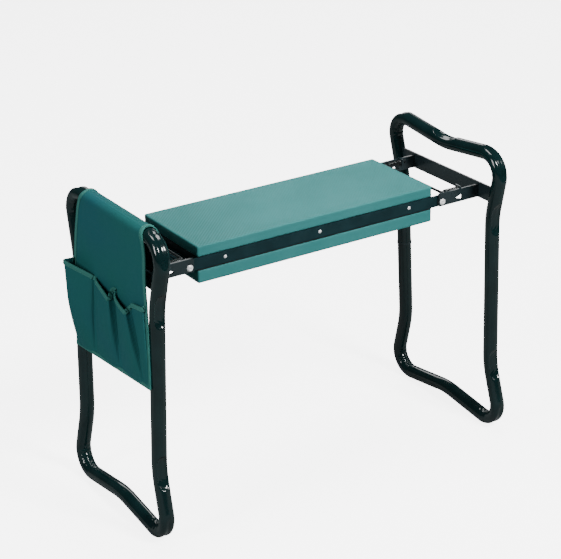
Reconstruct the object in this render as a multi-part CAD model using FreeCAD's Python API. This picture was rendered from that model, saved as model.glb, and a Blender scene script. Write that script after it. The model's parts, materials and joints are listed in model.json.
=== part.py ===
import FreeCAD, Part

# Garden kneeler seat: two foam pads on a board between steel rails, carried by
# two folding tube loops. Millimetres, +Z up, +X towards the bare loop, origin on
# the floor under the middle of the seat.

import math
import os

V = FreeCAD.Vector
AXIS_X = V(1, 0, 0)
AXIS_Y = V(0, 1, 0)
ORIGIN = V(0, 0, 0)

# Seat
PAD_LENGTH = 400.0
PAD_WIDTH = 150.3
PAD_ROUND = 3.0
LOWER_PAD_BOTTOM = 355.9
LOWER_PAD_THICK = 19.1
BOARD_THICK = 19.8
UPPER_PAD_THICK = 16.1
BOARD_HALF_WIDTH = 74.2
BOARD_LENGTH = 399.0
RAIL_THICK = 2.5
RAIL_HEIGHT = 16.9
END_BAR_WIDTH = 10.0
END_BAR_WALL = 2.0
END_BAR_HEIGHT = 6.0

# Hinges
PIVOT_X = 215.5
PIVOT_Z = 385.0
TONGUE_RADIUS = 10.0
RIVET_SHAFT_R = 3.0
RIVET_HEAD_R = 5.0
RIVET_HEAD_HIGH = 2.2
RIVET_TAIL_R = 4.5
RIVET_TAIL_HIGH = 2.0
ARM_HOLE_R = 3.08
WASHER_THICK = 0.9
WASHER_R = 7.0
RUNNING_GAP = 0.05

# Loop frames
TUBE_R = 11.0
TUBE_WALL = 1.2
LOOP_X = 284.7
SPLAY_DEG = 1.72
CORNER_BEND_R = 30.0
SHALLOW_BEND_R = 140.0
TOP_DIP_Z = 442.4
TOP_CORNER = (137.3, 458.1)
UPPER_WAIST = (111.8, 356.2)
LOWER_WAIST = (108.8, 108.8)
FOOT_CORNER = (138.5, 4.9)
BOTTOM_MID_Z = 23.0
SEAM_Z = 240.0
SEAM_GAP = 0.4
WELD_HIGH = 0.6
WELD_WIDE = 4.0

# Hinge arms and cross plates
ARM_END_X = 209.0
ARM_THICK = 3.0
ARM_BOTTOM = 378.6
ARM_HEIGHT = 20.0
ARM_CORNER_R = 2.0
CROSS_THICK = 3.0
CROSS_BOTTOM = 377.6
CROSS_HEIGHT = 24.0
CROSS_HALF_WIDTH = 114.0
NOTCH_APEX_X = 238.7
NOTCH_BACK_X = 252.0
NOTCH_BOTTOM = 381.6
NOTCH_TOP = 390.6
NOTCH_APEX_Z = 385.6

# Latch: a wire bail held towards the seat by two coil springs
BAIL_X = 220.5
BAIL_Z = 395.6
BAIL_HALF_WIDTH = 71.5
BAIL_WIRE_R = 2.0
BAIL_BEND_R = 4.0
BAIL_END_X = 258.0
BAIL_HEAD_R = 3.0
BAIL_HEAD_LONG = 1.5
COLLAR_X = 225.0
COLLAR_LONG = 2.0
COLLAR_R = 3.6
GUIDE_X = 250.0
GUIDE_THICK = 2.0
GUIDE_INNER_Y = 66.0
GUIDE_BOTTOM = 389.0
GUIDE_TOP = 401.0
GUIDE_HOLE_R = 2.25
SPRING_WIRE_R = 0.55
SPRING_MEAN_R = 3.2
SPRING_TURNS = 9

# Screws
RAIL_SCREW_XS = (-157.0, 0.0, 157.0)
RAIL_SCREW_Z = 387.0
SCREW_HEAD_R = 2.6
SCREW_HEAD_HIGH = 1.3
SCREW_SHANK_R = 1.5
SCREW_SHANK_LONG = 14.0
END_SCREW_Y = 45.0
END_SCREW_Z = 381.5

# Tool bag on the left loop, in the loop's own plane
CLOTH = 1.5
BAG_CLEAR = 0.4
BAG_HALF_WIDTH = 105.0
BAG_WRAP_Z = 453.9
BAG_FLAP_BOTTOM = 408.0
FLAP_TAB_BOTTOM = 388.0
FLAP_TAB_INNER_Y = 86.0
FLAP_TAB_OUTER_Y = 113.0
BAG_HEM_Z = 228.6
POCKET_TOP_Z = 353.6
POCKET_TOP_X = 21.0
POCKET_HEM_X = 17.6
POCKET_EDGES = (-105.0, -66.0, -13.0, 44.0, 105.0)
POCKET_SEAM = 1.5
BINDING_WIDE = 6.0
BINDING_THICK = 0.8

# Heights that follow
BOARD_BOTTOM = LOWER_PAD_BOTTOM + LOWER_PAD_THICK
BOARD_TOP = BOARD_BOTTOM + BOARD_THICK
RAIL_BOTTOM = BOARD_TOP - RAIL_HEIGHT
RAIL_OUTER_Y = BOARD_HALF_WIDTH + RAIL_THICK
ARM_INNER_Y = RAIL_OUTER_Y + WASHER_THICK + 2 * RUNNING_GAP
ARM_OUTER_Y = ARM_INNER_Y + ARM_THICK


def box(x0, x1, y0, y1, z0, z1):
    return Part.makeBox(x1 - x0, y1 - y0, z1 - z0, V(x0, y0, z0))


def rod(radius, start, end):
    run = end - start
    return Part.makeCylinder(radius, run.Length, start, run)


def mirror_x(shape):
    return shape.mirror(ORIGIN, AXIS_X)


def mirror_y(shape):
    return shape.mirror(ORIGIN, AXIS_Y)


def front_and_rear(shape):
    return [shape, mirror_y(shape)]


def four_corners(shape):
    return front_and_rear(shape) + [mirror_x(s) for s in front_and_rear(shape)]


def write(node, solids):
    shape = solids[0] if len(solids) == 1 else Part.makeCompound(solids)
    for solid in shape.Solids:
        if not solid.isValid():
            raise ValueError(node + " holds an invalid solid")
    shape.exportStep("parts/" + node + ".step")


# ---------------------------------------------------------------- bent tubes

def bend(before, corner, after, radius):
    """The start, middle and end of the arc that rounds one corner of a path."""
    to_before = (before - corner).normalize()
    to_after = (after - corner).normalize()
    half = to_before.getAngle(to_after) / 2
    start = corner + to_before * (radius / math.tan(half))
    end = corner + to_after * (radius / math.tan(half))
    inward = (to_before + to_after).normalize()
    middle = corner + inward * (radius / math.sin(half) - radius)
    return start, middle, end


def rounded_path(first, corners, last):
    """Straight runs joined by tangent arcs; corners is a list of (point, radius)."""
    points = [first] + [point for point, radius in corners] + [last]
    edges = []
    here = first
    for i, (corner, radius) in enumerate(corners):
        start, middle, end = bend(points[i], corner, points[i + 2], radius)
        edges.append(Part.LineSegment(here, start).toShape())
        edges.append(Part.Arc(start, middle, end).toShape())
        here = end
    edges.append(Part.LineSegment(here, last).toShape())
    return Part.Wire(edges)


def round_bar(path, first, direction, radius):
    disc = Part.Face(Part.Wire(Part.makeCircle(radius, first, direction)))
    return path.makePipe(disc)


def hollow_bar(path, first, direction, radius, wall):
    bore = round_bar(path, first, direction, radius - wall)
    return round_bar(path, first, direction, radius).cut(bore).Solids[0]


# ---------------------------------------------------------------- seat

def pad(bottom, thick):
    half_l = PAD_LENGTH / 2
    half_w = PAD_WIDTH / 2
    block = box(-half_l, half_l, -half_w, half_w, bottom, bottom + thick)
    upright = [e for e in block.Edges if abs(e.tangentAt(e.FirstParameter).z) > 0.9]
    return block.makeFillet(PAD_ROUND, upright)


def seat_board():
    half_l = BOARD_LENGTH / 2
    board = box(-half_l, half_l, -BOARD_HALF_WIDTH, BOARD_HALF_WIDTH, BOARD_BOTTOM, BOARD_TOP)
    for screw in rail_screws() + end_screws():
        board = board.cut(screw)
    return board


def front_rail():
    """A flat bar along the board whose rounded tongues carry the hinge rivets."""
    bar = box(-PIVOT_X - TONGUE_RADIUS, PIVOT_X + TONGUE_RADIUS,
              -RAIL_OUTER_Y, -BOARD_HALF_WIDTH, RAIL_BOTTOM, BOARD_TOP)
    middle = box(-PIVOT_X, PIVOT_X, -RAIL_OUTER_Y, -BOARD_HALF_WIDTH, RAIL_BOTTOM, BOARD_TOP)
    tips = []
    for x in (-PIVOT_X, PIVOT_X):
        tips.append(rod(TONGUE_RADIUS, V(x, -RAIL_OUTER_Y, PIVOT_Z), V(x, -BOARD_HALF_WIDTH, PIVOT_Z)))
    bar = bar.common(middle.fuse(tips)).removeSplitter()
    for x in (-PIVOT_X, PIVOT_X):
        bar = bar.cut(rod(RIVET_SHAFT_R, V(x, -RAIL_OUTER_Y - 1, PIVOT_Z),
                          V(x, -BOARD_HALF_WIDTH + 1, PIVOT_Z)))
    for x in RAIL_SCREW_XS:
        bar = bar.cut(rod(SCREW_SHANK_R, V(x, -RAIL_OUTER_Y - 1, RAIL_SCREW_Z),
                          V(x, -BOARD_HALF_WIDTH + 1, RAIL_SCREW_Z)))
    return bar


def screw(head_face, direction):
    """A dome-headed wood screw whose head sits on head_face, its shank along direction."""
    dome_r = (SCREW_HEAD_R ** 2 + SCREW_HEAD_HIGH ** 2) / (2 * SCREW_HEAD_HIGH)
    ball = Part.makeSphere(dome_r, head_face + direction * (dome_r - SCREW_HEAD_HIGH))
    top = head_face - direction * (SCREW_HEAD_HIGH + 1)
    head = ball.common(rod(SCREW_HEAD_R + 1, top, head_face))
    return head.fuse(rod(SCREW_SHANK_R, head_face, head_face + direction * SCREW_SHANK_LONG))


def rail_screws():
    screws = []
    for x in RAIL_SCREW_XS:
        screws += front_and_rear(screw(V(x, -RAIL_OUTER_Y, RAIL_SCREW_Z), AXIS_Y))
    return screws


def end_bar():
    """An angle across the seat's right end that ties the two rails together."""
    inner = BOARD_LENGTH / 2
    low = RAIL_BOTTOM
    foot = box(inner, inner + END_BAR_WIDTH, -BOARD_HALF_WIDTH, BOARD_HALF_WIDTH, low, low + END_BAR_WALL)
    web = box(inner, inner + END_BAR_WALL, -BOARD_HALF_WIDTH, BOARD_HALF_WIDTH, low, low + END_BAR_HEIGHT)
    bar = foot.fuse(web).removeSplitter()
    for fastener in end_screws():
        bar = bar.cut(fastener)
    return bar


def end_screws():
    face = BOARD_LENGTH / 2 + END_BAR_WALL
    return four_corners(screw(V(face, -END_SCREW_Y, END_SCREW_Z), -AXIS_X))


def pivot_rivet():
    """The front right hinge rivet: a domed head outside the arm, a tail inside the rail."""
    y_head = -ARM_OUTER_Y - RUNNING_GAP
    y_tail = -BOARD_HALF_WIDTH
    shaft = rod(RIVET_SHAFT_R, V(PIVOT_X, y_head, PIVOT_Z), V(PIVOT_X, y_tail, PIVOT_Z))
    dome_r = (RIVET_HEAD_R ** 2 + RIVET_HEAD_HIGH ** 2) / (2 * RIVET_HEAD_HIGH)
    ball = Part.makeSphere(dome_r, V(PIVOT_X, y_head + dome_r - RIVET_HEAD_HIGH, PIVOT_Z))
    head = ball.common(rod(RIVET_HEAD_R + 1, V(PIVOT_X, y_head - RIVET_HEAD_HIGH - 1, PIVOT_Z),
                           V(PIVOT_X, y_head, PIVOT_Z)))
    tail = rod(RIVET_TAIL_R, V(PIVOT_X, y_tail, PIVOT_Z), V(PIVOT_X, y_tail + RIVET_TAIL_HIGH, PIVOT_Z))
    return shaft.fuse([head, tail])


def pivot_washer():
    y_out = -RAIL_OUTER_Y - WASHER_THICK
    y_in = -RAIL_OUTER_Y
    ring = rod(WASHER_R, V(PIVOT_X, y_out, PIVOT_Z), V(PIVOT_X, y_in, PIVOT_Z))
    return ring.cut(rod(RIVET_SHAFT_R, V(PIVOT_X, y_out - 1, PIVOT_Z), V(PIVOT_X, y_in + 1, PIVOT_Z)))


# ---------------------------------------------------------------- loop frames

def splayed(shape):
    """Carries a shape from the loop's upright plane at x = 0 to its splayed place."""
    placed = shape.copy()
    placed.rotate(V(0, 0, PIVOT_Z), AXIS_Y, -SPLAY_DEG)
    placed.translate(V(LOOP_X, 0, 0))
    return placed


def loop_point(y, z):
    return V(0, y, z)


def loop_corners():
    """The loop's corners in order from the rear leg's seam, down, round and back."""
    rear = [(LOWER_WAIST, SHALLOW_BEND_R), (FOOT_CORNER, CORNER_BEND_R)]
    front = [(FOOT_CORNER, CORNER_BEND_R), (LOWER_WAIST, SHALLOW_BEND_R),
             (UPPER_WAIST, SHALLOW_BEND_R), (TOP_CORNER, CORNER_BEND_R)]
    corners = [(loop_point(y, z), r) for (y, z), r in rear]
    corners.append((loop_point(0, BOTTOM_MID_Z), SHALLOW_BEND_R))
    corners += [(loop_point(-y, z), r) for (y, z), r in front]
    corners.append((loop_point(0, TOP_DIP_Z), SHALLOW_BEND_R))
    corners.append((loop_point(*TOP_CORNER), CORNER_BEND_R))
    corners.append((loop_point(*UPPER_WAIST), SHALLOW_BEND_R))
    return corners


def seam_point(offset):
    """A point on the rear leg's straight run, offset along it from the weld seam."""
    upper = loop_point(*UPPER_WAIST)
    lower = loop_point(*LOWER_WAIST)
    share = (UPPER_WAIST[1] - SEAM_Z) / (UPPER_WAIST[1] - LOWER_WAIST[1])
    down = (lower - upper).normalize()
    return upper + (lower - upper) * share + down * offset, down


def loop_path():
    """The tube's centreline from one side of the seam right round to the other."""
    first, down = seam_point(SEAM_GAP / 2)
    last, down = seam_point(-SEAM_GAP / 2)
    return rounded_path(first, loop_corners(), last), first, down


def loop_tube():
    path, first, down = loop_path()
    return splayed(hollow_bar(path, first, down, TUBE_R, TUBE_WALL))


def loop_weld():
    """The bead that closes the loop's butt seam."""
    start, down = seam_point(-WELD_WIDE / 2)
    end = start + down * WELD_WIDE
    return splayed(rod(TUBE_R + WELD_HIGH, start, end).cut(rod(TUBE_R, start - down, end + down)))


def cross_plate():
    plate = box(LOOP_X - CROSS_THICK / 2, LOOP_X + CROSS_THICK / 2,
                -CROSS_HALF_WIDTH, CROSS_HALF_WIDTH, CROSS_BOTTOM, CROSS_BOTTOM + CROSS_HEIGHT)
    path, first, down = loop_path()
    plate = plate.cut(splayed(round_bar(path, first, down, TUBE_R)))
    return max(plate.Solids, key=lambda piece: piece.Volume)


def front_arm():
    far = LOOP_X - CROSS_THICK / 2
    arm = box(ARM_END_X, far, -ARM_OUTER_Y, -ARM_INNER_Y, ARM_BOTTOM, ARM_BOTTOM + ARM_HEIGHT)
    ends = [e for e in arm.Edges
            if abs(e.tangentAt(e.FirstParameter).y) > 0.9 and abs(e.CenterOfMass.x - ARM_END_X) < 0.1]
    arm = arm.makeFillet(ARM_CORNER_R, ends)
    arm = arm.cut(rod(ARM_HOLE_R, V(PIVOT_X, -ARM_OUTER_Y - 1, PIVOT_Z),
                      V(PIVOT_X, -ARM_INNER_Y + 1, PIVOT_Z)))
    notch = Part.makePolygon([V(NOTCH_APEX_X, -ARM_OUTER_Y - 1, NOTCH_APEX_Z),
                              V(NOTCH_BACK_X, -ARM_OUTER_Y - 1, NOTCH_TOP),
                              V(NOTCH_BACK_X, -ARM_OUTER_Y - 1, NOTCH_BOTTOM),
                              V(NOTCH_APEX_X, -ARM_OUTER_Y - 1, NOTCH_APEX_Z)])
    return arm.cut(Part.Face(notch).extrude(V(0, ARM_THICK + 2, 0)))


def latch_guide():
    """A tab on the front arm's inner face that the latch wire slides through."""
    tab = box(GUIDE_X, GUIDE_X + GUIDE_THICK, -ARM_INNER_Y, -GUIDE_INNER_Y, GUIDE_BOTTOM, GUIDE_TOP)
    hole = rod(GUIDE_HOLE_R, V(GUIDE_X - 1, -BAIL_HALF_WIDTH, BAIL_Z),
               V(GUIDE_X + GUIDE_THICK + 1, -BAIL_HALF_WIDTH, BAIL_Z))
    return tab.cut(hole)


def latch_bail():
    """A U of round wire: a cross rod near the seat's end and two legs through the guides."""
    start = V(BAIL_END_X, -BAIL_HALF_WIDTH, BAIL_Z)
    end = V(BAIL_END_X, BAIL_HALF_WIDTH, BAIL_Z)
    corners = [(V(BAIL_X, -BAIL_HALF_WIDTH, BAIL_Z), BAIL_BEND_R),
               (V(BAIL_X, BAIL_HALF_WIDTH, BAIL_Z), BAIL_BEND_R)]
    wire = round_bar(rounded_path(start, corners, end), start, -AXIS_X, BAIL_WIRE_R)
    extras = []
    for y in (-BAIL_HALF_WIDTH, BAIL_HALF_WIDTH):
        extras.append(rod(COLLAR_R, V(COLLAR_X, y, BAIL_Z), V(COLLAR_X + COLLAR_LONG, y, BAIL_Z)))
        extras.append(rod(BAIL_HEAD_R, V(BAIL_END_X, y, BAIL_Z), V(BAIL_END_X + BAIL_HEAD_LONG, y, BAIL_Z)))
    return wire.fuse(extras)


def latch_spring():
    """The front coil spring between the bail's collar and the guide."""
    low = COLLAR_X + COLLAR_LONG + SPRING_WIRE_R + RUNNING_GAP
    high = GUIDE_X - SPRING_WIRE_R - RUNNING_GAP
    pitch = (high - low) / SPRING_TURNS
    helix = Part.makeHelix(pitch, high - low, SPRING_MEAN_R)
    start = V(SPRING_MEAN_R, 0, 0)
    rise = V(0, 2 * math.pi * SPRING_MEAN_R, pitch)
    disc = Part.Wire(Part.makeCircle(SPRING_WIRE_R, start, rise))
    coil = Part.Wire(helix.Edges).makePipeShell([disc], True, True)
    coil.rotate(ORIGIN, AXIS_Y, 90)
    coil.translate(V(low, -BAIL_HALF_WIDTH, BAIL_Z))
    return coil.Solids[0] if coil.Solids else Part.Solid(coil)


# ---------------------------------------------------------------- tool bag

def across(profile, half_width):
    """Extrudes a profile of (x, z) corners across the loop, centred on it."""
    points = [V(x, -half_width, z) for x, z in profile]
    return Part.Face(Part.makePolygon(points + points[:1])).extrude(V(0, 2 * half_width, 0))


def bag_panel():
    """The cloth folded over the handle: a long outer panel, a short inner flap with a tab past each arm."""
    inner = TUBE_R + BAG_CLEAR
    outer = inner + CLOTH
    wide = 2 * BAG_HALF_WIDTH
    y0 = V(0, -BAG_HALF_WIDTH, BAG_WRAP_Z)
    half_ring = Part.makeCylinder(outer, wide, y0, AXIS_Y).cut(Part.makeCylinder(inner, wide, y0, AXIS_Y))
    half_ring = half_ring.common(box(-outer, outer, -BAG_HALF_WIDTH, BAG_HALF_WIDTH, BAG_WRAP_Z,
                                     BAG_WRAP_Z + outer + 1))
    front = box(inner, outer, -BAG_HALF_WIDTH, BAG_HALF_WIDTH, BAG_HEM_Z, BAG_WRAP_Z)
    flap = box(-outer, -inner, -BAG_HALF_WIDTH, BAG_HALF_WIDTH, BAG_FLAP_BOTTOM, BAG_WRAP_Z)
    tab = box(-outer, -inner, FLAP_TAB_INNER_Y, FLAP_TAB_OUTER_Y, FLAP_TAB_BOTTOM, BAG_FLAP_BOTTOM)
    return half_ring.fuse([front, flap] + front_and_rear(tab)).removeSplitter()


def bag_pockets():
    """One pleated strip sewn to the panel, divided into four open pockets."""
    back = TUBE_R + BAG_CLEAR + CLOTH
    outer = [(back, BAG_HEM_Z), (POCKET_HEM_X, BAG_HEM_Z), (POCKET_TOP_X, POCKET_TOP_Z), (back, POCKET_TOP_Z)]
    strip = across(outer, BAG_HALF_WIDTH)
    floor = BAG_HEM_Z + CLOTH
    for low, high in zip(POCKET_EDGES, POCKET_EDGES[1:]):
        half = (high - low) / 2 - POCKET_SEAM
        hollow = across([(back - 1, floor), (POCKET_HEM_X - CLOTH, floor),
                         (POCKET_TOP_X - CLOTH, POCKET_TOP_Z + 1), (back - 1, POCKET_TOP_Z + 1)], half)
        hollow.translate(V(0, (low + high) / 2, 0))
        strip = strip.cut(hollow)
    return strip


def bag_bindings():
    """Tapes along the panel's two side edges above the pockets."""
    face = TUBE_R + BAG_CLEAR + CLOTH
    rear = box(face, face + BINDING_THICK, BAG_HALF_WIDTH - BINDING_WIDE, BAG_HALF_WIDTH,
               POCKET_TOP_Z, BAG_WRAP_Z)
    return [splayed(s) for s in front_and_rear(rear)]


def main():
    os.makedirs("parts", exist_ok=True)
    write("upper_pad", [pad(BOARD_TOP, UPPER_PAD_THICK)])
    write("lower_pad", [pad(LOWER_PAD_BOTTOM, LOWER_PAD_THICK)])
    write("seat_board", [seat_board()])
    rail = front_rail()
    write("front_rail", [rail])
    write("rear_rail", [mirror_y(rail)])
    bar = end_bar()
    write("right_end_bar", [bar])
    write("left_end_bar", [mirror_x(bar)])
    write("rail_screws", rail_screws())
    write("end_bar_screws", end_screws())
    write("pivot_rivets", four_corners(pivot_rivet()))
    write("pivot_washers", four_corners(pivot_washer()))

    arm = front_arm()
    frame_parts = {
        "loop_tube": [loop_tube()],
        "loop_weld": [loop_weld()],
        "cross_plate": [cross_plate()],
        "front_arm": [arm],
        "rear_arm": [mirror_y(arm)],
        "latch_guides": front_and_rear(latch_guide()),
        "latch_bail": [latch_bail()],
        "latch_springs": front_and_rear(latch_spring()),
    }
    for name, solids in frame_parts.items():
        write("right_" + name, solids)
        write("left_" + name, [mirror_x(s) for s in solids])

    write("bag_panel", [mirror_x(splayed(bag_panel()))])
    write("bag_pockets", [mirror_x(splayed(bag_pockets()))])
    write("bag_bindings", [mirror_x(s) for s in bag_bindings()])


main()
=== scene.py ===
import json
import math

import bpy
import numpy as np
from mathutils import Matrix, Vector


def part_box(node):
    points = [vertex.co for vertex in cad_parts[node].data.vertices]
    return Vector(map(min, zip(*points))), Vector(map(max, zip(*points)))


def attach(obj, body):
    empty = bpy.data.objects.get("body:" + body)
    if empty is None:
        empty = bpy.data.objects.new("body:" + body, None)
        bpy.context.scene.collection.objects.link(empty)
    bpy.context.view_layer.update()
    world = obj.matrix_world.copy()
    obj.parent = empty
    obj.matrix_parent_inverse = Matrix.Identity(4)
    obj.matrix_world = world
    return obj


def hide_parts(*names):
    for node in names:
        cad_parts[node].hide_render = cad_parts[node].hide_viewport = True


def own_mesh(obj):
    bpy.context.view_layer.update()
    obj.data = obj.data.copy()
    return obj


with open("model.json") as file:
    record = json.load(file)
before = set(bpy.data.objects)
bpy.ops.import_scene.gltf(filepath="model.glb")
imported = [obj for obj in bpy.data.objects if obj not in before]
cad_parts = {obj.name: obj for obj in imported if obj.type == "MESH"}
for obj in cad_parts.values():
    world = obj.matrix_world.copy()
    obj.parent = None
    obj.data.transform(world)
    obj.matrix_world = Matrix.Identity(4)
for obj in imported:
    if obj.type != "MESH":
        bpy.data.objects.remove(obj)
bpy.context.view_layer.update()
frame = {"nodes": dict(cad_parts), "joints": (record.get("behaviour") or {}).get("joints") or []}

# Garden kneeler seat. Metres, the same frame as the CAD model: +Z up, +X towards
# the bare loop, origin on the floor under the middle of the seat.
MM = 0.001
NODES = frame["nodes"]
JOINTS = {joint["name"]: joint for joint in frame["joints"]}
PIVOT_Z = JOINTS["right_fold"]["pos_m"][2] / MM

# The loops, in millimetres, each in its own upright plane (across, up).
TUBE_R = 11.0
LOOP_X = 284.7
SPLAY = math.radians(1.72)
CORNER_BEND_R = 30.0
SHALLOW_BEND_R = 140.0
TOP_DIP_Z = 442.4
TOP_CORNER = (137.3, 458.1)
UPPER_WAIST = (111.8, 356.2)
LOWER_WAIST = (108.8, 108.8)
FOOT_CORNER = (138.5, 4.9)
BOTTOM_MID_Z = 23.0
RING_STEP = 1.4
RING_SIDES = 48

# Press marks in the tube
DENT_HALF_LONG = 27.0
DENT_HALF_WIDE = 9.5
DENT_DEEP = 5.8
DENT_RIPPLE = 0.5
DENT_RIPPLE_PITCH = 7.0
GROOVE_DEEP = 2.6
GROOVE_HALF_WIDE = 4.6
BEND_FLATTEN = 0.10
BEND_WIDEN = 0.05
WRINKLE = 0.6
WRINKLE_REACH = 36.0
WRINKLE_PITCH = 10.0

# Latch springs
SPRING_WIRE_R = 0.55
SPRING_MEAN_R = 3.2
SPRING_TURNS = 9
SPRING_FLAT_TURNS = 0.75
SPRING_CLOSED_RISE = 0.12

# Foam pads
PAD_PLAN_R = 3.0
PAD_EDGE_R = 2.2
PAD_BELLY = 0.25
PAD_GRID = 1.4
DOT_DEEP = 0.55
DOT_FADE = 3.0


# ---------------------------------------------------------------- camera, light, floor

CAMERA_TARGET = Vector((-0.09028, -0.11181, 0.34814))
CAMERA_DISTANCE = 2.42456
CAMERA_AZIMUTH = -32.423
CAMERA_ELEVATION = 23.612
CAMERA_ROLL = -1.107
CAMERA_LENS = 112.338
WORLD_STRENGTH = 0.07
FLOOR_BOUNCE = (0.21, 0.23, 0.23)
FLOOR_GLOW = 5.0
# name, azimuth, elevation, distance, size, watts
SOFTBOXES = (
    ("overhead", 160, 80, 2.6, (1.0, 1.0), 40),
    ("key", 14, 46, 3.0, (0.6, 0.6), 116),
    ("left_fill", -80, 26, 3.0, (0.6, 1.4), 52),
    ("right_strip", 70, 24, 2.6, (0.25, 0.9), 5),
    ("rear_low", 150, 24, 3.0, (1.6, 0.7), 11),
)


def direction(azimuth, elevation):
    """The unit vector from the object towards a place seen at these angles, in degrees."""
    a = math.radians(azimuth)
    e = math.radians(elevation)
    return Vector((math.sin(a) * math.cos(e), -math.cos(a) * math.cos(e), math.sin(e)))


def add_camera():
    data = bpy.data.cameras.new("camera")
    camera = bpy.data.objects.new("camera", data)
    bpy.context.scene.collection.objects.link(camera)
    back = direction(CAMERA_AZIMUTH, CAMERA_ELEVATION)
    camera.location = CAMERA_TARGET + back * CAMERA_DISTANCE
    aim = (-back).to_track_quat("-Z", "Y").to_matrix()
    roll = math.radians(CAMERA_ROLL)
    right = aim.col[0] * math.cos(roll) + aim.col[1] * math.sin(roll)
    up = aim.col[1] * math.cos(roll) - aim.col[0] * math.sin(roll)
    aim.col[0] = right
    aim.col[1] = up
    camera.rotation_mode = "QUATERNION"
    camera.rotation_quaternion = aim.to_quaternion()
    data.lens = CAMERA_LENS
    data.sensor_width = 36.0
    data.clip_start = 0.05
    data.clip_end = 60.0
    bpy.context.scene.camera = camera


def add_softbox(name, azimuth, elevation, distance, size, watts):
    data = bpy.data.lights.new(name, "AREA")
    data.shape = "RECTANGLE"
    data.size = size[0]
    data.size_y = size[1]
    data.energy = watts
    lamp = bpy.data.objects.new(name, data)
    bpy.context.scene.collection.objects.link(lamp)
    towards = direction(azimuth, elevation)
    lamp.location = Vector((0, 0, 0.25)) + towards * distance
    lamp.rotation_mode = "QUATERNION"
    lamp.rotation_quaternion = towards.to_track_quat("Z", "Y")


def add_world():
    world = bpy.data.worlds.new("studio")
    bpy.context.scene.world = world
    world.use_nodes = True
    tree = world.node_tree
    tree.nodes["Background"].inputs["Color"].default_value = (0.92, 0.96, 1.0, 1)
    tree.nodes["Background"].inputs["Strength"].default_value = WORLD_STRENGTH


def add_floor():
    half = 14.0
    mesh = bpy.data.meshes.new("floor")
    mesh.from_pydata([(-half, -half, 0), (half, -half, 0), (half, half, 0), (-half, half, 0)], [],
                     [(0, 1, 2, 3)])
    floor = bpy.data.objects.new("floor", mesh)
    bpy.context.scene.collection.objects.link(floor)
    look = bpy.data.materials.new("floor")
    look.use_nodes = True
    tree = look.node_tree
    shader = tree.nodes["Principled BSDF"]
    shader.inputs["Base Color"].default_value = (*FLOOR_BOUNCE, 1)
    shader.inputs["Roughness"].default_value = 0.9
    shader.inputs["Specular IOR Level"].default_value = 0.0
    pale = tree.nodes.new("ShaderNodeBsdfDiffuse")
    pale.inputs["Color"].default_value = (0.9, 0.9, 0.9, 1)
    glow = tree.nodes.new("ShaderNodeEmission")
    glow.inputs["Strength"].default_value = FLOOR_GLOW
    bright = tree.nodes.new("ShaderNodeAddShader")
    tree.links.new(pale.outputs[0], bright.inputs[0])
    tree.links.new(glow.outputs[0], bright.inputs[1])
    seen = tree.nodes.new("ShaderNodeLightPath")
    mix = tree.nodes.new("ShaderNodeMixShader")
    tree.links.new(seen.outputs["Is Camera Ray"], mix.inputs[0])
    tree.links.new(shader.outputs[0], mix.inputs[1])
    tree.links.new(bright.outputs[0], mix.inputs[2])
    tree.links.new(mix.outputs[0], tree.nodes["Material Output"].inputs["Surface"])
    mesh.materials.append(look)


# ---------------------------------------------------------------- materials

COAT_ROUGHNESS = 0.035


def new_look(name, colour, roughness, specular=0.5, metallic=0.0, coat=0.0, sheen=0.0):
    look = bpy.data.materials.new(name)
    look.use_nodes = True
    shader = look.node_tree.nodes["Principled BSDF"]
    shader.inputs["Base Color"].default_value = (*colour, 1)
    shader.inputs["Roughness"].default_value = roughness
    shader.inputs["Specular IOR Level"].default_value = specular
    shader.inputs["Metallic"].default_value = metallic
    shader.inputs["Coat Weight"].default_value = coat
    shader.inputs["Coat Roughness"].default_value = COAT_ROUGHNESS
    shader.inputs["Sheen Weight"].default_value = sheen
    shader.inputs["Sheen Roughness"].default_value = 0.4
    return look, look.node_tree, shader


def object_place(tree):
    return tree.nodes.new("ShaderNodeTexCoord").outputs["Object"]


def noise(tree, scale, detail=3.0):
    """Soft noise that stays with the piece, from 0 to 1."""
    node = tree.nodes.new("ShaderNodeTexNoise")
    node.inputs["Scale"].default_value = scale
    node.inputs["Detail"].default_value = detail
    tree.links.new(object_place(tree), node.inputs["Vector"])
    return node.outputs["Fac"]


def wave(tree, axis, scale, phase=0.0):
    """Straight bands across an axis of the piece, from 0 to 1."""
    node = tree.nodes.new("ShaderNodeTexWave")
    node.wave_type = "BANDS"
    node.bands_direction = axis
    node.inputs["Scale"].default_value = scale
    node.inputs["Phase Offset"].default_value = phase
    tree.links.new(object_place(tree), node.inputs["Vector"])
    return node.outputs["Fac"]


def combine(tree, operation, first, second):
    """A Math node on two values, each a number or another node's output."""
    node = tree.nodes.new("ShaderNodeMath")
    node.operation = operation
    for socket, value in zip(node.inputs, (first, second)):
        if isinstance(value, (int, float)):
            socket.default_value = value
        else:
            tree.links.new(value, socket)
    return node.outputs[0]


def spread(tree, value, low, high, to_low=0.0, to_high=1.0):
    """Carries the range low to high onto to_low to to_high, and holds it there outside."""
    node = tree.nodes.new("ShaderNodeMapRange")
    node.inputs["From Min"].default_value = low
    node.inputs["From Max"].default_value = high
    node.inputs["To Min"].default_value = to_low
    node.inputs["To Max"].default_value = to_high
    tree.links.new(value, node.inputs["Value"])
    return node.outputs["Result"]


def blend_colours(tree, share, first, second):
    node = tree.nodes.new("ShaderNodeMix")
    node.data_type = "RGBA"
    tree.links.new(share, node.inputs["Factor"])
    for name, value in (("A", first), ("B", second)):
        socket = [s for s in node.inputs if s.name == name and s.type == "RGBA"][0]
        if isinstance(value, tuple):
            socket.default_value = (*value, 1)
        else:
            tree.links.new(value, socket)
    return [s for s in node.outputs if s.type == "RGBA"][0]


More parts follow.
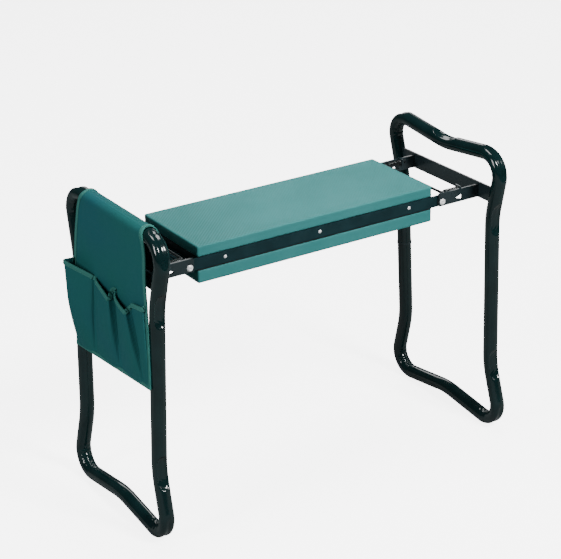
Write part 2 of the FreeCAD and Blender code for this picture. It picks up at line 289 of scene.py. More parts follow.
def add_bump(tree, shader, height, strength, distance):
    node = tree.nodes.new("ShaderNodeBump")
    node.inputs["Strength"].default_value = strength
    node.inputs["Distance"].default_value = distance
    tree.links.new(height, node.inputs["Height"])
    tree.links.new(node.outputs["Normal"], shader.inputs["Normal"])


# A Wave texture turns through this many radians for each unit of scale.
WAVE_RADIANS = 20


def dot_waves(tree):
    """Two crossed cosine waves in step with the foam's dots: their product is 1 on a dot, -1 in a pit."""
    size = [high - low for low, high in zip(*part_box("upper_pad"))]
    centred = []
    for axis, length in (("X", size[0]), ("Y", size[1])):
        cells = round(length / (PAD_GRID * MM))
        scale = math.pi * cells / (2 * length * WAVE_RADIANS)
        phase = (cells / 2 * math.pi / 2) % (2 * math.pi)
        centred.append(spread(tree, wave(tree, axis, scale, phase), 0.0, 1.0, 1.0, -1.0))
    return centred


def facing_up(tree):
    """How far the surface faces up: 1 on a level top, -1 on a level underside."""
    parts = tree.nodes.new("ShaderNodeSeparateXYZ")
    tree.links.new(tree.nodes.new("ShaderNodeNewGeometry").outputs["Normal"], parts.inputs[0])
    return parts.outputs["Z"]


def foam_look():
    """Closed-cell foam: fine cells, faint mottling, and painted shade in the dots' pits, painted strongest at
    the bag's end.
    """
    look, tree, shader = new_look("eva_foam", (0.04, 0.19, 0.19), 0.62, specular=0.2, sheen=0.05)
    patches = spread(tree, noise(tree, 14.0, 4.0), 0.35, 0.65)
    colour = blend_colours(tree, patches, (0.031, 0.190, 0.188), (0.041, 0.212, 0.211))
    dots = combine(tree, "MULTIPLY", *dot_waves(tree))
    level = combine(tree, "ABSOLUTE", facing_up(tree), 0.0)
    # Painted shade in the pits: a darker colour where the dot waves dip, on the level faces only.
    pit_painted_shade = combine(tree, "MULTIPLY", spread(tree, dots, 0.6, -1.0), spread(tree, level, 0.5, 0.7))
    place = tree.nodes.new("ShaderNodeSeparateXYZ")
    tree.links.new(object_place(tree), place.inputs[0])
    # The painted pit shade is strongest towards the bag's end (low x) and fades further along the seat.
    clear = spread(tree, place.outputs["X"], -0.15, -0.06, 0.85, 0.26)
    colour = blend_colours(tree, combine(tree, "MULTIPLY", pit_painted_shade, clear), colour, (0.022, 0.105, 0.098))
    cells = noise(tree, 1400.0, 2.0)
    speckle = spread(tree, cells, 0.55, 0.75, 0.0, 0.35)
    tree.links.new(blend_colours(tree, speckle, colour, (0.035, 0.15, 0.135)), shader.inputs["Base Color"])
    tree.links.new(spread(tree, cells, 0.3, 0.7, 0.55, 0.7), shader.inputs["Roughness"])
    add_bump(tree, shader, cells, 0.25, 0.0002)
    return look


def paint_look(name, colour, roughness, coat, specular=0.12):
    """Gloss powder coat: slight orange peel and faint tone patches."""
    look, tree, shader = new_look(name, colour, roughness, specular, coat=coat)
    patches = spread(tree, noise(tree, 30.0, 3.0), 0.35, 0.65)
    lighter = tuple(1.35 * c + 0.001 for c in colour)
    tree.links.new(blend_colours(tree, patches, colour, lighter), shader.inputs["Base Color"])
    peel = noise(tree, 420.0, 2.0)
    tree.links.new(spread(tree, noise(tree, 90.0), 0.3, 0.7, roughness * 0.85, roughness * 1.2),
                   shader.inputs["Roughness"])
    add_bump(tree, shader, peel, 0.10, 0.0002)
    return look


def metal_look(name, colour, roughness, metallic=1.0):
    """Plated steel with fine drawing streaks and slight tarnish."""
    look, tree, shader = new_look(name, colour, roughness, metallic=metallic)
    streaks = noise(tree, 600.0, 3.0)
    tree.links.new(spread(tree, streaks, 0.3, 0.7, roughness * 0.7, roughness * 1.4),
                   shader.inputs["Roughness"])
    darker = tuple(0.85 * c for c in colour)
    tree.links.new(blend_colours(tree, spread(tree, noise(tree, 250.0), 0.35, 0.65), colour, darker),
                   shader.inputs["Base Color"])
    add_bump(tree, shader, streaks, 0.12, 0.0001)
    return look


def plastic_look(name, colour, roughness):
    """Moulded plastic with a fine grain."""
    look, tree, shader = new_look(name, colour, roughness)
    grain = noise(tree, 1200.0, 2.0)
    tree.links.new(spread(tree, grain, 0.3, 0.7, roughness * 0.9, roughness * 1.1),
                   shader.inputs["Roughness"])
    lighter = tuple(1.4 * c for c in colour)
    tree.links.new(blend_colours(tree, spread(tree, noise(tree, 60.0), 0.3, 0.7), colour, lighter),
                   shader.inputs["Base Color"])
    add_bump(tree, shader, grain, 0.2, 0.0001)
    return look


def board_look():
    """Dark painted board with faint grain along the seat."""
    look, tree, shader = new_look("board", (0.012, 0.014, 0.014), 0.6)
    rings = wave(tree, "Y", 60.0)
    broken = combine(tree, "MULTIPLY", rings, noise(tree, 40.0, 5.0))
    colour = blend_colours(tree, spread(tree, broken, 0.1, 0.7), (0.010, 0.012, 0.012), (0.02, 0.022, 0.02))
    tree.links.new(colour, shader.inputs["Base Color"])
    add_bump(tree, shader, broken, 0.3, 0.0003)
    return look


def cloth_look(name, first, second, weave_scale):
    """Woven cloth: a plain weave of two sets of threads, with slow drifts of hue and painted shade between
    the threads.
    """
    look, tree, shader = new_look(name, first, 0.7, specular=0.15)
    weave = combine(tree, "MULTIPLY", wave(tree, "Y", weave_scale), wave(tree, "Z", weave_scale))
    drift = spread(tree, noise(tree, 9.0, 2.0), 0.35, 0.65)
    colour = blend_colours(tree, drift, first, second)
    # Painted shade: the colour is darkened towards 0.6 of itself in the gaps between the threads.
    shade = tuple(0.6 * c for c in first)
    tree.links.new(blend_colours(tree, spread(tree, weave, 0.0, 0.5, 0.45, 0.0), colour, shade),
                   shader.inputs["Base Color"])
    creases = combine(tree, "MULTIPLY", noise(tree, 55.0, 4.0), 2.5)
    add_bump(tree, shader, combine(tree, "ADD", weave, creases), 0.3, 0.0004)
    return look


# ---------------------------------------------------------------- mesh helpers

def make_piece(name, points, faces, look, body, smooth_angle):
    """A mesh piece from points in millimetres, which rides on a body."""
    mesh = bpy.data.meshes.new(name)
    mesh.from_pydata((np.asarray(points, float) * MM).tolist(), [], faces)
    mesh.validate()
    mesh.shade_smooth()
    mesh.set_sharp_from_angle(angle=math.radians(smooth_angle))
    mesh.materials.append(look)
    piece = bpy.data.objects.new(name, mesh)
    bpy.context.scene.collection.objects.link(piece)
    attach(piece, body)
    return piece


def ring_faces(rings, sides, closed, start=0):
    """Quads between rings of points, with end caps unless the rings close on themselves."""
    faces = []
    for i in range(rings if closed else rings - 1):
        here = start + i * sides
        after = start + ((i + 1) % rings) * sides
        for j in range(sides):
            k = (j + 1) % sides
            faces.append((here + j, here + k, after + k, after + j))
    if not closed:
        faces.append(tuple(start + j for j in reversed(range(sides))))
        faces.append(tuple(start + (rings - 1) * sides + j for j in range(sides)))
    return faces


def grid_faces(rows, columns, start=0, flip=False):
    """Quads over a grid of points."""
    faces = []
    for i in range(rows - 1):
        for j in range(columns - 1):
            a = start + i * columns + j
            quad = (a, a + 1, a + columns + 1, a + columns)
            faces.append(quad[::-1] if flip else quad)
    return faces


def thick_sheet(grid, thickness):
    """A closed sheet: a grid of points (rows, columns, 3) on one side, offset along its normals."""
    rows, columns = grid.shape[:2]
    along = np.gradient(grid, axis=0)
    across = np.gradient(grid, axis=1)
    normal = np.cross(along, across)
    normal /= np.linalg.norm(normal, axis=2, keepdims=True) + 1e-12
    back = grid - normal * thickness
    points = np.concatenate([grid.reshape(-1, 3), back.reshape(-1, 3)])
    offset = rows * columns
    faces = grid_faces(rows, columns) + grid_faces(rows, columns, offset, flip=True)
    rim = list(range(columns))
    rim += [i * columns + columns - 1 for i in range(1, rows)]
    rim += [(rows - 1) * columns + j for j in range(columns - 2, -1, -1)]
    rim += [i * columns for i in range(rows - 2, 0, -1)]
    for a, b in zip(rim, rim[1:] + rim[:1]):
        faces.append((b, a, a + offset, b + offset))
    return points, faces


def unit(vectors):
    return vectors / (np.linalg.norm(vectors, axis=-1, keepdims=True) + 1e-12)


# ---------------------------------------------------------------- loop tubes

def loop_corners():
    """(across, up, bend radius) from the rear foot up, over the top and down the front."""
    rising = [(*FOOT_CORNER, CORNER_BEND_R), (*LOWER_WAIST, SHALLOW_BEND_R),
              (*UPPER_WAIST, SHALLOW_BEND_R), (*TOP_CORNER, CORNER_BEND_R)]
    falling = [(-y, z, radius) for y, z, radius in reversed(rising)]
    return rising + [(0.0, TOP_DIP_Z, SHALLOW_BEND_R)] + falling + [(0.0, BOTTOM_MID_Z, SHALLOW_BEND_R)]


def loop_line():
    """Stations round the loop's centreline: places, headings, and for each bend its middle and length."""
    corners = loop_corners()
    count = len(corners)
    arcs = []
    for i, (y, z, radius) in enumerate(corners):
        corner = np.array([y, z])
        before = unit(np.array(corners[i - 1][:2]) - corner)
        after = unit(np.array(corners[(i + 1) % count][:2]) - corner)
        half = math.acos(float(before @ after)) / 2
        reach = radius / math.tan(half)
        centre = corner + unit(before + after) * radius / math.sin(half)
        arcs.append((corner + before * reach, corner + after * reach, centre, radius, math.pi - 2 * half))
    places, bends = [], []
    travelled = 0.0
    for i, (start, end, centre, radius, turn) in enumerate(arcs):
        steps = max(3, round(radius * turn / RING_STEP))
        first = start - centre
        side = np.sign(first[0] * (end - centre)[1] - first[1] * (end - centre)[0])
        for k in range(steps):
            angle = side * turn * k / steps
            turned = (first[0] * math.cos(angle) - first[1] * math.sin(angle),
                      first[0] * math.sin(angle) + first[1] * math.cos(angle))
            places.append(centre + np.array(turned))
        bends.append((travelled + radius * turn / 2, radius * turn, radius))
        travelled += radius * turn
        run = arcs[(i + 1) % count][0] - end
        length = float(np.linalg.norm(run))
        steps = max(2, round(length / RING_STEP))
        for k in range(steps):
            places.append(end + run * k / steps)
        travelled += length
    places = np.array(places)
    headings = unit(np.roll(places, -1, axis=0) - np.roll(places, 1, axis=0))
    gaps = np.linalg.norm(np.roll(places, -1, axis=0) - places, axis=1)
    distance = np.concatenate([[0], np.cumsum(gaps)[:-1]])
    return places, headings, distance, bends, travelled


def from_loop_plane(out, across, up, side):
    """Carries points from a loop's own upright plane to its splayed place; side is 1 or -1 in x."""
    x = out * math.cos(SPLAY) - (up - PIVOT_Z) * math.sin(SPLAY)
    z = out * math.sin(SPLAY) + (up - PIVOT_Z) * math.cos(SPLAY) + PIVOT_Z
    return np.stack([side * (x + LOOP_X), across, z], axis=-1)


def tube_section(distance, bends, total):
    """How far each point of each ring stands from the centreline, outward and sideways."""
    around = np.linspace(0, 2 * math.pi, RING_SIDES, endpoint=False)
    outward = np.tile(TUBE_R * np.cos(around), (len(distance), 1))
    sideways = np.tile(TUBE_R * np.sin(around), (len(distance), 1))
    arc = TUBE_R * (np.mod(around + math.pi, 2 * math.pi) - math.pi)
    for middle, length, radius in bends:
        gap = np.mod(distance - middle + total / 2, total) - total / 2
        if radius == SHALLOW_BEND_R:
            lengthwise = (np.abs(gap)[:, None] / DENT_HALF_LONG) ** 3.4
            crosswise = (np.abs(arc)[None, :] / DENT_HALF_WIDE) ** 2.3
            inside = np.clip(1 - (lengthwise + crosswise), 0, 1)
            deep = DENT_DEEP * inside ** 0.6
            phase = 2 * math.pi * (gap[:, None] + 0.9 * arc[None, :]) / DENT_RIPPLE_PITCH
            ends = np.clip(np.abs(gap)[:, None] / DENT_HALF_LONG - 0.25, 0, 1)
            deep += DENT_RIPPLE * np.sin(phase) * inside * ends * 1.6
            outward -= deep
        else:
            share = np.clip(0.5 - np.abs(gap) / length, 0, 0.5) / 0.2
            share = np.clip(share, 0, 1)
            share = (share * share * (3 - 2 * share))[:, None]
            top = np.cos(around)[None, :]
            outer = np.clip(top, 0, 1)
            groove = np.exp(-(sideways / GROOVE_HALF_WIDE) ** 2) * (top > 0)
            outward -= share * (BEND_FLATTEN * TUBE_R * outer + GROOVE_DEEP * groove)
            sideways *= 1 + BEND_WIDEN * share
            ripple = np.sin(2 * math.pi * gap / WRINKLE_PITCH)[:, None] * np.clip(-top, 0, 1) ** 1.5
            outward += WRINKLE * np.exp(-(gap / WRINKLE_REACH) ** 4)[:, None] * ripple
    return outward, sideways


def loop_tube(side, name, look):
    """One bent tube, with its press marks; side is 1 at the bare loop, -1 at the bag."""
    places, headings, distance, bends, total = loop_line()
    outward, sideways = tube_section(distance, bends, total)
    normal = np.stack([headings[:, 1], -headings[:, 0]], axis=1)
    across = places[:, 0:1] + normal[:, 0:1] * outward
    up = places[:, 1:2] + normal[:, 1:2] * outward
    points = from_loop_plane(sideways, across, up, side).reshape(-1, 3)
    faces = ring_faces(len(places), RING_SIDES, closed=True)
    if side > 0:
        faces = [face[::-1] for face in faces]
    piece = make_piece(name + "_bent_tube", points, faces, look, name + "_frame", 60.0)
    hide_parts(name + "_loop_tube")


# ---------------------------------------------------------------- foam pads

def foam_pad(name, node, textured_side, look):
    """A foam slab with rounded edges and a dotted face; textured_side is 1 on top, -1 below."""
    low, high = (np.array(corner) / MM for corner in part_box(node))
    half = (high - low)[:2] / 2
    centre = (high + low)[:2] / 2
    counts = [int(round(2 * h / PAD_GRID)) + 1 for h in half]
    flat = half - PAD_PLAN_R

    def ring_point(x, y, offset):
        p = np.array([x, y])
        q = np.clip(p, -flat, flat)
        away = p - q
        length = np.linalg.norm(away)
        if length < 1e-9:
            return p
        return q + away / length * (PAD_PLAN_R + offset)

    xs = np.linspace(-half[0], half[0], counts[0])
    ys = np.linspace(-half[1], half[1], counts[1])
    rim = [(x, ys[0]) for x in xs] + [(xs[-1], y) for y in ys[1:]]
    rim += [(x, ys[-1]) for x in xs[-2::-1]] + [(xs[0], y) for y in ys[-2:0:-1]]
    points, faces = [], []
    sides = len(rim)
    levels = []
    for k in range(5):
        angle = math.pi / 2 * k / 4
        levels.append((-PAD_EDGE_R * (1 - math.sin(angle)), low[2] + PAD_EDGE_R * (1 - math.cos(angle))))
    for k in range(1, 4):
        share = k / 4
        levels.append((-PAD_BELLY * math.sin(math.pi * share), low[2] + PAD_EDGE_R
                       + share * (high[2] - low[2] - 2 * PAD_EDGE_R)))
    for k in range(5):
        angle = math.pi / 2 * (1 - k / 4)
        levels.append((-PAD_EDGE_R * (1 - math.sin(angle)), high[2] - PAD_EDGE_R * (1 - math.cos(angle))))
    for offset, z in levels:
        for x, y in rim:
            points.append((*(ring_point(x, y, offset) + centre), z))
    for i in range(len(levels) - 1):
        for j in range(sides):
            k = (j + 1) % sides
            faces.append((i * sides + j, i * sides + k, (i + 1) * sides + k, (i + 1) * sides + j))
    lookup = {place: j for j, place in enumerate(rim)}
    for ring, face_side, z in ((len(levels) - 1, 1, high[2]), (0, -1, low[2])):
        ids = {}
        for i, x in enumerate(xs):
            for j, y in enumerate(ys):
                if (x, y) in lookup:
                    ids[i, j] = ring * sides + lookup[x, y]
                    continue
                edge = min(half[0] - abs(x), half[1] - abs(y))
                shrink = 1 - PAD_EDGE_R / half * 0.999
                sunk = 0.0
                if face_side == textured_side:
                    fade = min(1.0, max(0.0, (edge - 1.0) / DOT_FADE))
                    sunk = DOT_DEEP * fade * (1 - math.cos(math.pi * i / 2) * math.cos(math.pi * j / 2)) / 2
                ids[i, j] = len(points)
                points.append((x * shrink[0] + centre[0], y * shrink[1] + centre[1], z - face_side * sunk))
        for i in range(len(xs) - 1):
            for j in range(len(ys) - 1):
                quad = (ids[i, j], ids[i + 1, j], ids[i + 1, j + 1], ids[i, j + 1])
                faces.append(quad if face_side > 0 else quad[::-1])
    piece = make_piece(name, points, faces, look, "seat", 60.0)
    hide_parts(node)


# ---------------------------------------------------------------- tool bag

CLOTH = 1.1
PANEL_OUT = 12.7
WRAP_Z = 453.9
WRAP_R = 12.7
FLAP_BOTTOM = 408.0
FLAP_TAB_BOTTOM = 388.5
FLAP_INNER_TAB = 392.0
ARM_CLEAR_Z = 400.2
FLAP_FLARE = 13.0
HEM_REAR_Z = 222.6
HEM_FRONT_Z = 239.0
BAG_REAR = 105.5
BAG_FRONT = -113.5
MOUTH_BULGE = 16.2
BULGE_RISE = 0.62
TAPE_WIDE = 6.0
FRONT_ROWS = 70
WRAP_ROWS = 18

# The pockets from rear to front: seam places at the mouth and at the hem, the
# lean of the fullness to the front, its depth, how far the mouth droops, how
# far forward and how sharply it does, and the mouth's height at each seam.
SEAMS_TOP = (106.0, 41.0, -14.5, -65.0, -105.5)
SEAMS_HEM = (105.0, 45.0, -31.0, -98.0, -112.0)
POCKET_LEAN = (-0.8, 0.7, 0.6, 0.2)
POCKET_FULL = (1.0, 0.62, 0.6, 0.22)
POCKET_DROOP = (-1.0, 11.5, 8.5, -2.0)
DROOP_SKEW = (1.0, 2.4, 1.2, 1.0)
DROOP_POWER = (1.5, 1.2, 0.55, 1.5)
MOUTH_Z = (359.0, 349.5, 352.5, 345.5, 359.0)
SEAM_FLAT = 0.065
SEAM_BOW = 1.35
CREASE_POWER = 0.55
OVERHANG = 0.75


def smooth_through(stations, values, at):
    """A smooth curve through a few values, for the bag's edges."""
    stations = np.array(stations, float)
    values = np.array(values, float)
    at = np.clip(at, stations[0], stations[-1])
    i = np.clip(np.searchsorted(stations, at, side="right") - 1, 0, len(stations) - 2)
    slopes = np.gradient(values, stations)
    x0, x1 = stations[i], stations[i + 1]
    y0, y1 = values[i], values[i + 1]
    t = (at - x0) / (x1 - x0)
    h = x1 - x0
    return ((2 * t**3 - 3 * t**2 + 1) * y0 + (t**3 - 2 * t**2 + t) * h * slopes[i]
            + (-2 * t**3 + 3 * t**2) * y1 + (t**3 - t**2) * h * slopes[i + 1])


REAR_EDGE = ((220.0, 365.0, 420.0, 447.0, 466.0), (105.5, 105.5, 96.0, 88.0, 77.0))
FRONT_EDGE = ((220.0, 350.0, 390.0, 445.0, 466.0), (-113.5, -108.0, -104.5, -101.5, -93.0))


def rear_edge(z):
    """Where the panel's rear edge is at a height."""
    return smooth_through(*REAR_EDGE, z)


def front_edge(z):
    """Where the panel's front edge is at a height."""
    return smooth_through(*FRONT_EDGE, z)


def hem_z(y):
    """The height of the bag's lower hem, which rises to the front."""
    return HEM_REAR_Z + (HEM_FRONT_Z - HEM_REAR_Z) * (BAG_REAR - y) / (BAG_REAR - BAG_FRONT)


def panel_out(y, z):
    """How far the outer panel's face stands out: it hangs from the handle and sags in between the legs."""
    mid = np.clip(1 - (np.abs(y) / 100.0) ** 2, 0, 1)
    height = np.clip((z - 225.0) / 235.0, 0, 1)
    sag = -1.6 * mid * np.sin(math.pi * height)
    wrinkle = 0.5 * np.sin(y / 17.0 + z / 60.0) * np.sin(math.pi * height) ** 2
    return PANEL_OUT + sag + wrinkle


def to_left(out, across, up):
    """Carries the bag's points from the left loop's own plane to their place."""
    return from_loop_plane(np.asarray(out, float), np.asarray(across, float), np.asarray(up, float), -1)


def flap_bottom(y):
    """The inner flap's lower edge: a notch over each hinge arm, a tab outside it and a short one inside."""
    return np.interp(np.abs(y), (56.5, 59.0, 74.3, 76.4, 82.0, 85.0),
                     (FLAP_BOTTOM, FLAP_INNER_TAB, FLAP_INNER_TAB, ARM_CLEAR_Z, ARM_CLEAR_Z, FLAP_TAB_BOTTOM))


def panel_row(part, v, share):
    """The panel's outer face along one row, from its rear edge (share 0) to its front edge (share 1)."""
    if part == "front":
        z_nominal = HEM_FRONT_Z + (WRAP_Z - HEM_FRONT_Z) * v
        y = rear_edge(z_nominal) + (front_edge(z_nominal) - rear_edge(z_nominal)) * share
        z = hem_z(y) + (WRAP_Z - hem_z(y)) * v
        blend = np.clip((z - 440) / 14, 0, 1)
        return panel_out(y, z) * (1 - blend) + WRAP_R * blend, y, z
    if part == "wrap":
        z_edge = WRAP_Z + WRAP_R * math.sin(v)
        y = rear_edge(z_edge) + (front_edge(z_edge) - rear_edge(z_edge)) * share
        return np.full_like(y, WRAP_R * math.cos(v)), y, np.full_like(y, z_edge)
    flare = FLAP_FLARE * min(1.0, v / 0.55)
    y = (rear_edge(WRAP_Z) + flare) * (1 - share) + (front_edge(WRAP_Z) - flare) * share
    z = WRAP_Z + (flap_bottom(y) - WRAP_Z) * v
    return -WRAP_R - (0.8 * np.sin(y / 19.0) + 0.6) * v, y, z


def panel_rows(flap):
    """The panel's rows in order: up the front, over the handle and down the inner flap."""
    rows = [("front", v) for v in np.linspace(0, 1, FRONT_ROWS)]
    rows += [("wrap", angle) for angle in np.linspace(0, math.pi, WRAP_ROWS)[1:]]
    return rows + [("flap", v) for v in np.linspace(0, 1, flap)[1:]]


def bag_panel(look):
    """One cloth from the outer hem, over the handle, to the inner flap's hem."""
    rows = panel_rows(22)
    share = np.linspace(0, 1, 160)
    grid = np.array([to_left(*panel_row(part, v, share)) for part, v in rows])
    points, faces = thick_sheet(grid[:, ::-1], CLOTH)
    piece = make_piece("bag_cloth_panel", points, faces, look, "left_frame", 50.0)
    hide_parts("bag_panel")
    return piece


def pocket_surface(strip, v):
    """The pocket cloth's outer face; strip runs 0 to 4 from rear to front, v 0 to 1 from hem to mouth."""
    k = np.minimum(strip.astype(int), 3)
    t = np.clip((strip - k - SEAM_FLAT) / (1 - 2 * SEAM_FLAT), 0, 1)
    angle = math.pi * t
    top = np.array(SEAMS_TOP)
    hem = np.array(SEAMS_HEM)
    bow = v ** SEAM_BOW
    start = hem[k] + (top[k] - hem[k]) * bow
    end = hem[k + 1] + (top[k + 1] - hem[k + 1]) * bow
    middle = (start + end) / 2
    half = (start - end) / 2
    lean = np.array(POCKET_LEAN)[k] * (0.3 + 0.7 * v)
    full = np.array(POCKET_FULL)[k]
    round_out = np.sin(angle) ** CREASE_POWER
    rear_share = np.cos(angle)
    swell = np.sin(angle) ** 2 * v
    y = middle + half * (1 - 2 * SEAM_FLAT) * rear_share * (1 + OVERHANG * swell)
    y = y - half * 0.25 * lean * swell
    y = np.where(t <= 0, start - 2 * half * (strip - k), y)
    y = np.where(t >= 1, start - 2 * half * (strip - k), y)
    deep = MOUTH_BULGE * full * (1 - (1 - np.clip(v / BULGE_RISE, 0, 1)) ** 1.6) + 0.6
    out_bulge = deep * round_out * (1 - lean * rear_share) / (1 + 0.35 * abs(lean))
    mouth = np.array(MOUTH_Z)
    mouth_line = mouth[k] + (mouth[k + 1] - mouth[k]) * t
    sunk = np.clip(np.sin(math.pi * t ** np.array(DROOP_SKEW)[k]), 0, 1) ** np.array(DROOP_POWER)[k]
    mouth_z = mouth_line - np.array(POCKET_DROOP)[k] * sunk
    low = hem_z(y)
    z = low + (mouth_z - low) * v
    out = panel_out(y, z) + CLOTH + out_bulge
    return out, y, z


def strip_stations():
    """Stations along the pocket strip, closer near the seams."""
    t = (1 - np.cos(np.linspace(0, math.pi, 25))) / 2
    t = 0.5 * t + 0.5 * np.linspace(0, 1, 25)
    return np.concatenate([[k + s for s in t[:-1]] for k in range(4)] + [[4.0]])


def bag_pockets(look):
    """The strip of cloth that makes the four pockets."""
    strip = strip_stations()
    rows = np.linspace(0, 1, 48)
    grid = np.zeros((len(rows), len(strip), 3))
    for i, v in enumerate(rows):
        out, y, z = pocket_surface(strip, np.full_like(strip, v))
        grid[i] = to_left(out, y, z)
    points, faces = thick_sheet(grid[:, ::-1], CLOTH)
    piece = make_piece("bag_pocket_cloth", points, faces, look, "left_frame", 60.0)
    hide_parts("bag_pockets")
    return piece


def tape(line, down, face):
    """A tape folded over an edge: line is the edge, down points into the cloth, face is its outer normal."""
    section = ((0.6, TAPE_WIDE), (0.95, TAPE_WIDE - 0.6), (0.95, 0.3), (0.5, -0.5), (-1.1, -0.5),
               (-1.45, 0.3), (-1.45, TAPE_WIDE - 0.6), (-1.3, TAPE_WIDE))
    rings = np.array([[p + f * a + d * b for a, b in section] for p, d, f in zip(line, down, face)])
    return rings.reshape(-1, 3), ring_faces(len(line), len(section), closed=False)


def edge_frames(line, inner, face_guess):
    """Unit vectors into the cloth and out of its face along an edge line."""
    down = unit(inner - line)
    along = unit(np.gradient(line, axis=0))
    face = unit(np.cross(along, down))
    flip = np.sign(np.sum(face * face_guess, axis=1, keepdims=True))
    face = face * flip
    down = unit(down - along * np.sum(down * along, axis=1, keepdims=True))
    return down, face


def bag_tapes(look):
    """The binding on the pockets' mouth, the panel's two sides, the inner flap and the hem."""
    outward = np.array([-1.0, 0.0, 0.0])
    points, faces = [], []

    def add(line, inner, guess=outward):
        down, face = edge_frames(line, inner, guess)
        ring_points, ring_list = tape(line, down, face)
        start = len(points)
        points.extend(ring_points.tolist())
        faces.extend([tuple(start + i for i in f) for f in ring_list])
        return line, down, face

    edges = []
    strip = strip_stations()
    out, y, z = pocket_surface(strip, np.ones_like(strip))
    inner_out, inner_y, inner_z = pocket_surface(strip, np.full_like(strip, 0.95))
    edges.append(add(to_left(out, y, z), to_left(inner_out, inner_y, inner_z)))
    rows = panel_rows(16)
    guess = []
    for part, v in rows:
        angle = {"front": 0.0, "wrap": v, "flap": math.pi}[part]
        guess.append((-math.cos(angle), 0.0, math.sin(angle)))
    guess = np.array(guess)
    for share, inward in ((0.0, 0.03), (1.0, 0.97)):
        line, inner = [], []
        for part, v in rows:
            for places, at in ((line, share), (inner, inward)):
                out, y, z = panel_row(part, v, np.array([at]))
                lift = np.clip((352.0 - z) / 4.0, 0, 1) * (part == "front")
                places.append(to_left(out + lift, y, z)[0])
        edges.append(add(np.array(line), np.array(inner), guess))
    share = np.linspace(0.0, 1.0, 220)
    line = to_left(*panel_row("flap", 1.0, share))
    edges.append(add(line, to_left(*panel_row("flap", 0.9, share)), -outward))
    across = np.linspace(BAG_REAR, BAG_FRONT, 60)
    low = hem_z(across)
    out = panel_out(across, low) + 1.2
    edges.append(add(to_left(out, across, low - 0.3), to_left(out, across, low + 5)))
    piece = make_piece("bag_edge_tapes", points, faces, look, "left_frame", 40.0)
    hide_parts("bag_bindings")
    return piece, edges


def bag_stitches(edges, look):
    """Short raised stitches along every tape."""
    pitch, long, fat = 3.6, 2.5, 0.28
    points, faces = [], []
    for line, down, face in edges:
        gaps = np.linalg.norm(np.diff(line, axis=0), axis=1)
        distance = np.concatenate([[0], np.cumsum(gaps)])
        for middle in np.arange(pitch, distance[-1] - pitch, pitch):
            def at(where, values):
                return np.array([np.interp(where, distance, values[:, c]) for c in range(3)])
            d = unit(at(middle, down))
            f = unit(at(middle, face))
            base = at(middle, line) + d * (TAPE_WIDE - 1.4) + f * 1.0
            run = unit(at(middle + 1, line) - at(middle - 1, line)) * long / 2
            side = unit(np.cross(run, f)) * fat
            rise = f * fat
            start = len(points)
            for share, size in ((-1, 0.35), (-0.6, 1), (0.6, 1), (1, 0.35)):
                centre = base + run * share
                for a, b in ((1, 0), (0.5, 0.9), (-0.5, 0.9), (-1, 0), (-0.5, -0.9), (0.5, -0.9)):
                    points.append((centre + side * a * size + rise * b * size).tolist())
            faces.extend(ring_faces(4, 6, False, start))
    return make_piece("bag_stitches", points, faces, look, "left_frame", 60.0)


# ---------------------------------------------------------------- small hardware

def rivet_heads(look):
    """Semi-tubular rivets: a domed head with a dimple, on each arm over its hinge."""
    low, high = (np.array(corner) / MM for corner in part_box("pivot_rivets"))
    pivots = [(JOINTS[n]["pos_m"][0] / MM, JOINTS[n]["pos_m"][2] / MM) for n in ("right_fold", "left_fold")]
    profile = ((0.0, 1.15), (0.9, 1.2), (1.25, 1.75), (1.7, 2.0), (2.8, 1.85), (4.2, 1.15), (4.9, 0.35),
               (5.0, 0.0), (3.05, 0.0), (3.0, -0.1), (3.0, -7.0), (0.0, -7.0))
    sides = 36
    around = np.linspace(0, 2 * math.pi, sides, endpoint=False)
    points, faces = [], []
    for x, z in pivots:
        for sign in (-1, 1):
            face_y = sign * ((high[1] - low[1]) / 2 - 2.2)
            start = len(points)
            for r, h in profile:
                for angle in around:
                    points.append((x + max(r, 0.02) * math.cos(angle), face_y + sign * h,
                                   z + max(r, 0.02) * math.sin(angle)))
            ring = ring_faces(len(profile), sides, False, start)
            faces.extend(ring if sign > 0 else [f[::-1] for f in ring])
    piece = make_piece("hinge_rivets", points, faces, look, "seat", 35.0)
    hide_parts("pivot_rivets")


def coil_springs(name, look):
    """The two coil springs of one latch."""
    low, high = (np.array(corner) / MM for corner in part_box(name + "_latch_springs"))
    centre_y = high[1] - SPRING_MEAN_R - SPRING_WIRE_R
    centre_z = (low[2] + high[2]) / 2
    start, end = low[0] + SPRING_WIRE_R, high[0] - SPRING_WIRE_R
    turned = np.linspace(0, 2 * math.pi * SPRING_TURNS, SPRING_TURNS * 28 + 1)
    flat = 2 * math.pi * SPRING_FLAT_TURNS
    rise = np.clip(turned - flat, 0, turned[-1] - 2 * flat)
    for closed in (np.clip(turned, 0, flat), np.clip(turned - turned[-1] + flat, 0, flat)):
        rise += SPRING_CLOSED_RISE * closed
    x = start + (end - start) * rise / rise[-1]
    line = np.stack([x, SPRING_MEAN_R * np.cos(turned), SPRING_MEAN_R * np.sin(turned)], axis=1)
    along = unit(np.gradient(line, axis=0))
    radial = unit(line * (0, 1, 1))
    radial = unit(radial - along * np.sum(radial * along, axis=1, keepdims=True))
    binormal = np.cross(along, radial)
    around = np.linspace(0, 2 * math.pi, 10, endpoint=False)
    spokes = radial[:, None] * np.cos(around)[:, None] + binormal[:, None] * np.sin(around)[:, None]
    rings = line[:, None] + SPRING_WIRE_R * spokes
    points, faces = [], []
    for sign in (-1, 1):
        start_index = len(points)
        points.extend((rings.reshape(-1, 3) + (0, sign * centre_y, centre_z)).tolist())
        faces.extend(ring_faces(len(line), len(around), False, start_index))
    piece = make_piece(name + "_coil_springs", points, faces, look, name + "_frame", 60.0)
    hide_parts(name + "_latch_springs")
    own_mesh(piece)


# ---------------------------------------------------------------- the whole object

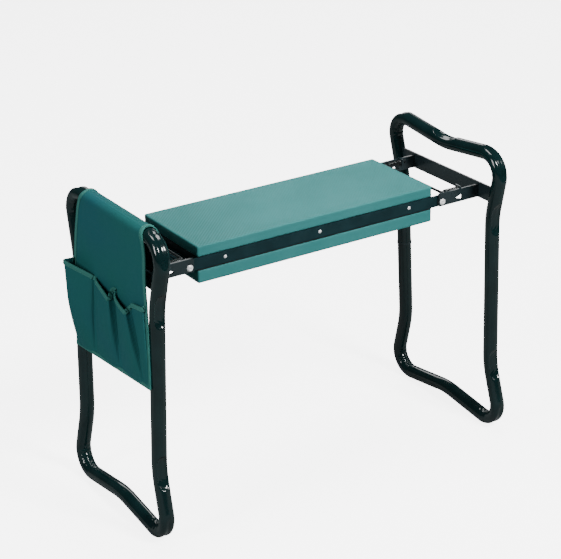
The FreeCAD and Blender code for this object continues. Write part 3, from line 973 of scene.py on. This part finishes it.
def paint(looks):
    """Gives each CAD node that stays on show its finish."""
    finish = {
        "seat_board": "board", "rail_screws": "zinc", "end_bar_screws": "zinc", "pivot_rivets": "zinc",
        "pivot_washers": "nylon", "front_rail": "rail_paint", "rear_rail": "rail_paint",
        "left_end_bar": "rail_paint", "right_end_bar": "rail_paint",
    }
    for side in ("left_", "right_"):
        for part in ("loop_weld", "cross_plate", "front_arm", "rear_arm", "latch_guides", "loop_tube"):
            finish[side + part] = "plate_paint"
        finish[side + "latch_bail"] = "latch_wire"
        finish[side + "latch_springs"] = "spring_steel"
    for part in ("upper_pad", "lower_pad"):
        finish[part] = "eva_foam"
    for part in ("bag_panel", "bag_pockets", "bag_bindings"):
        finish[part] = "bag_cloth"
    for node, kind in finish.items():
        slots = NODES[node].data.materials
        slots.clear()
        slots.append(looks[kind])


def make_looks():
    """Every material, by its name."""
    return {
        "eva_foam": foam_look(),
        "board": board_look(),
        "tube_paint": paint_look("tube_paint", (0.0015, 0.0105, 0.011), 0.12, 0.0, 0.5),
        "plate_paint": paint_look("plate_paint", (0.010, 0.019, 0.022), 0.30, 0.2, 0.35),
        "rail_paint": paint_look("rail_paint", (0.005, 0.020, 0.024), 0.45, 0.1),
        "zinc": metal_look("zinc", (0.98, 0.985, 0.99), 0.30, 0.1),
        "nylon": plastic_look("nylon", (0.02, 0.02, 0.02), 0.5),
        "latch_wire": paint_look("latch_wire", (0.010, 0.014, 0.015), 0.3, 0.3),
        "spring_steel": metal_look("spring_steel", (0.12, 0.13, 0.13), 0.35),
        "bag_cloth": cloth_look("bag_cloth", (0.011, 0.112, 0.110), (0.012, 0.100, 0.124), 190.0),
        "bag_tape": cloth_look("bag_tape", (0.036, 0.170, 0.146), (0.046, 0.190, 0.164), 320.0),
        "bag_thread": cloth_look("bag_thread", (0.08, 0.26, 0.23), (0.08, 0.26, 0.23), 900.0),
    }


def main():
    add_camera()
    add_world()
    add_floor()
    for softbox in SOFTBOXES:
        add_softbox(*softbox)
    looks = make_looks()
    paint(looks)
    loop_tube(1, "right", looks["tube_paint"])
    loop_tube(-1, "left", looks["tube_paint"])
    foam_pad("upper_foam_pad", "upper_pad", 1, looks["eva_foam"])
    foam_pad("lower_foam_pad", "lower_pad", -1, looks["eva_foam"])
    rivet_heads(looks["zinc"])
    coil_springs("right", looks["spring_steel"])
    coil_springs("left", looks["spring_steel"])
    panel = bag_panel(looks["bag_cloth"])
    pockets = bag_pockets(looks["bag_cloth"])
    tapes, edges = bag_tapes(looks["bag_tape"])
    stitches = bag_stitches(edges, looks["bag_thread"])


main()
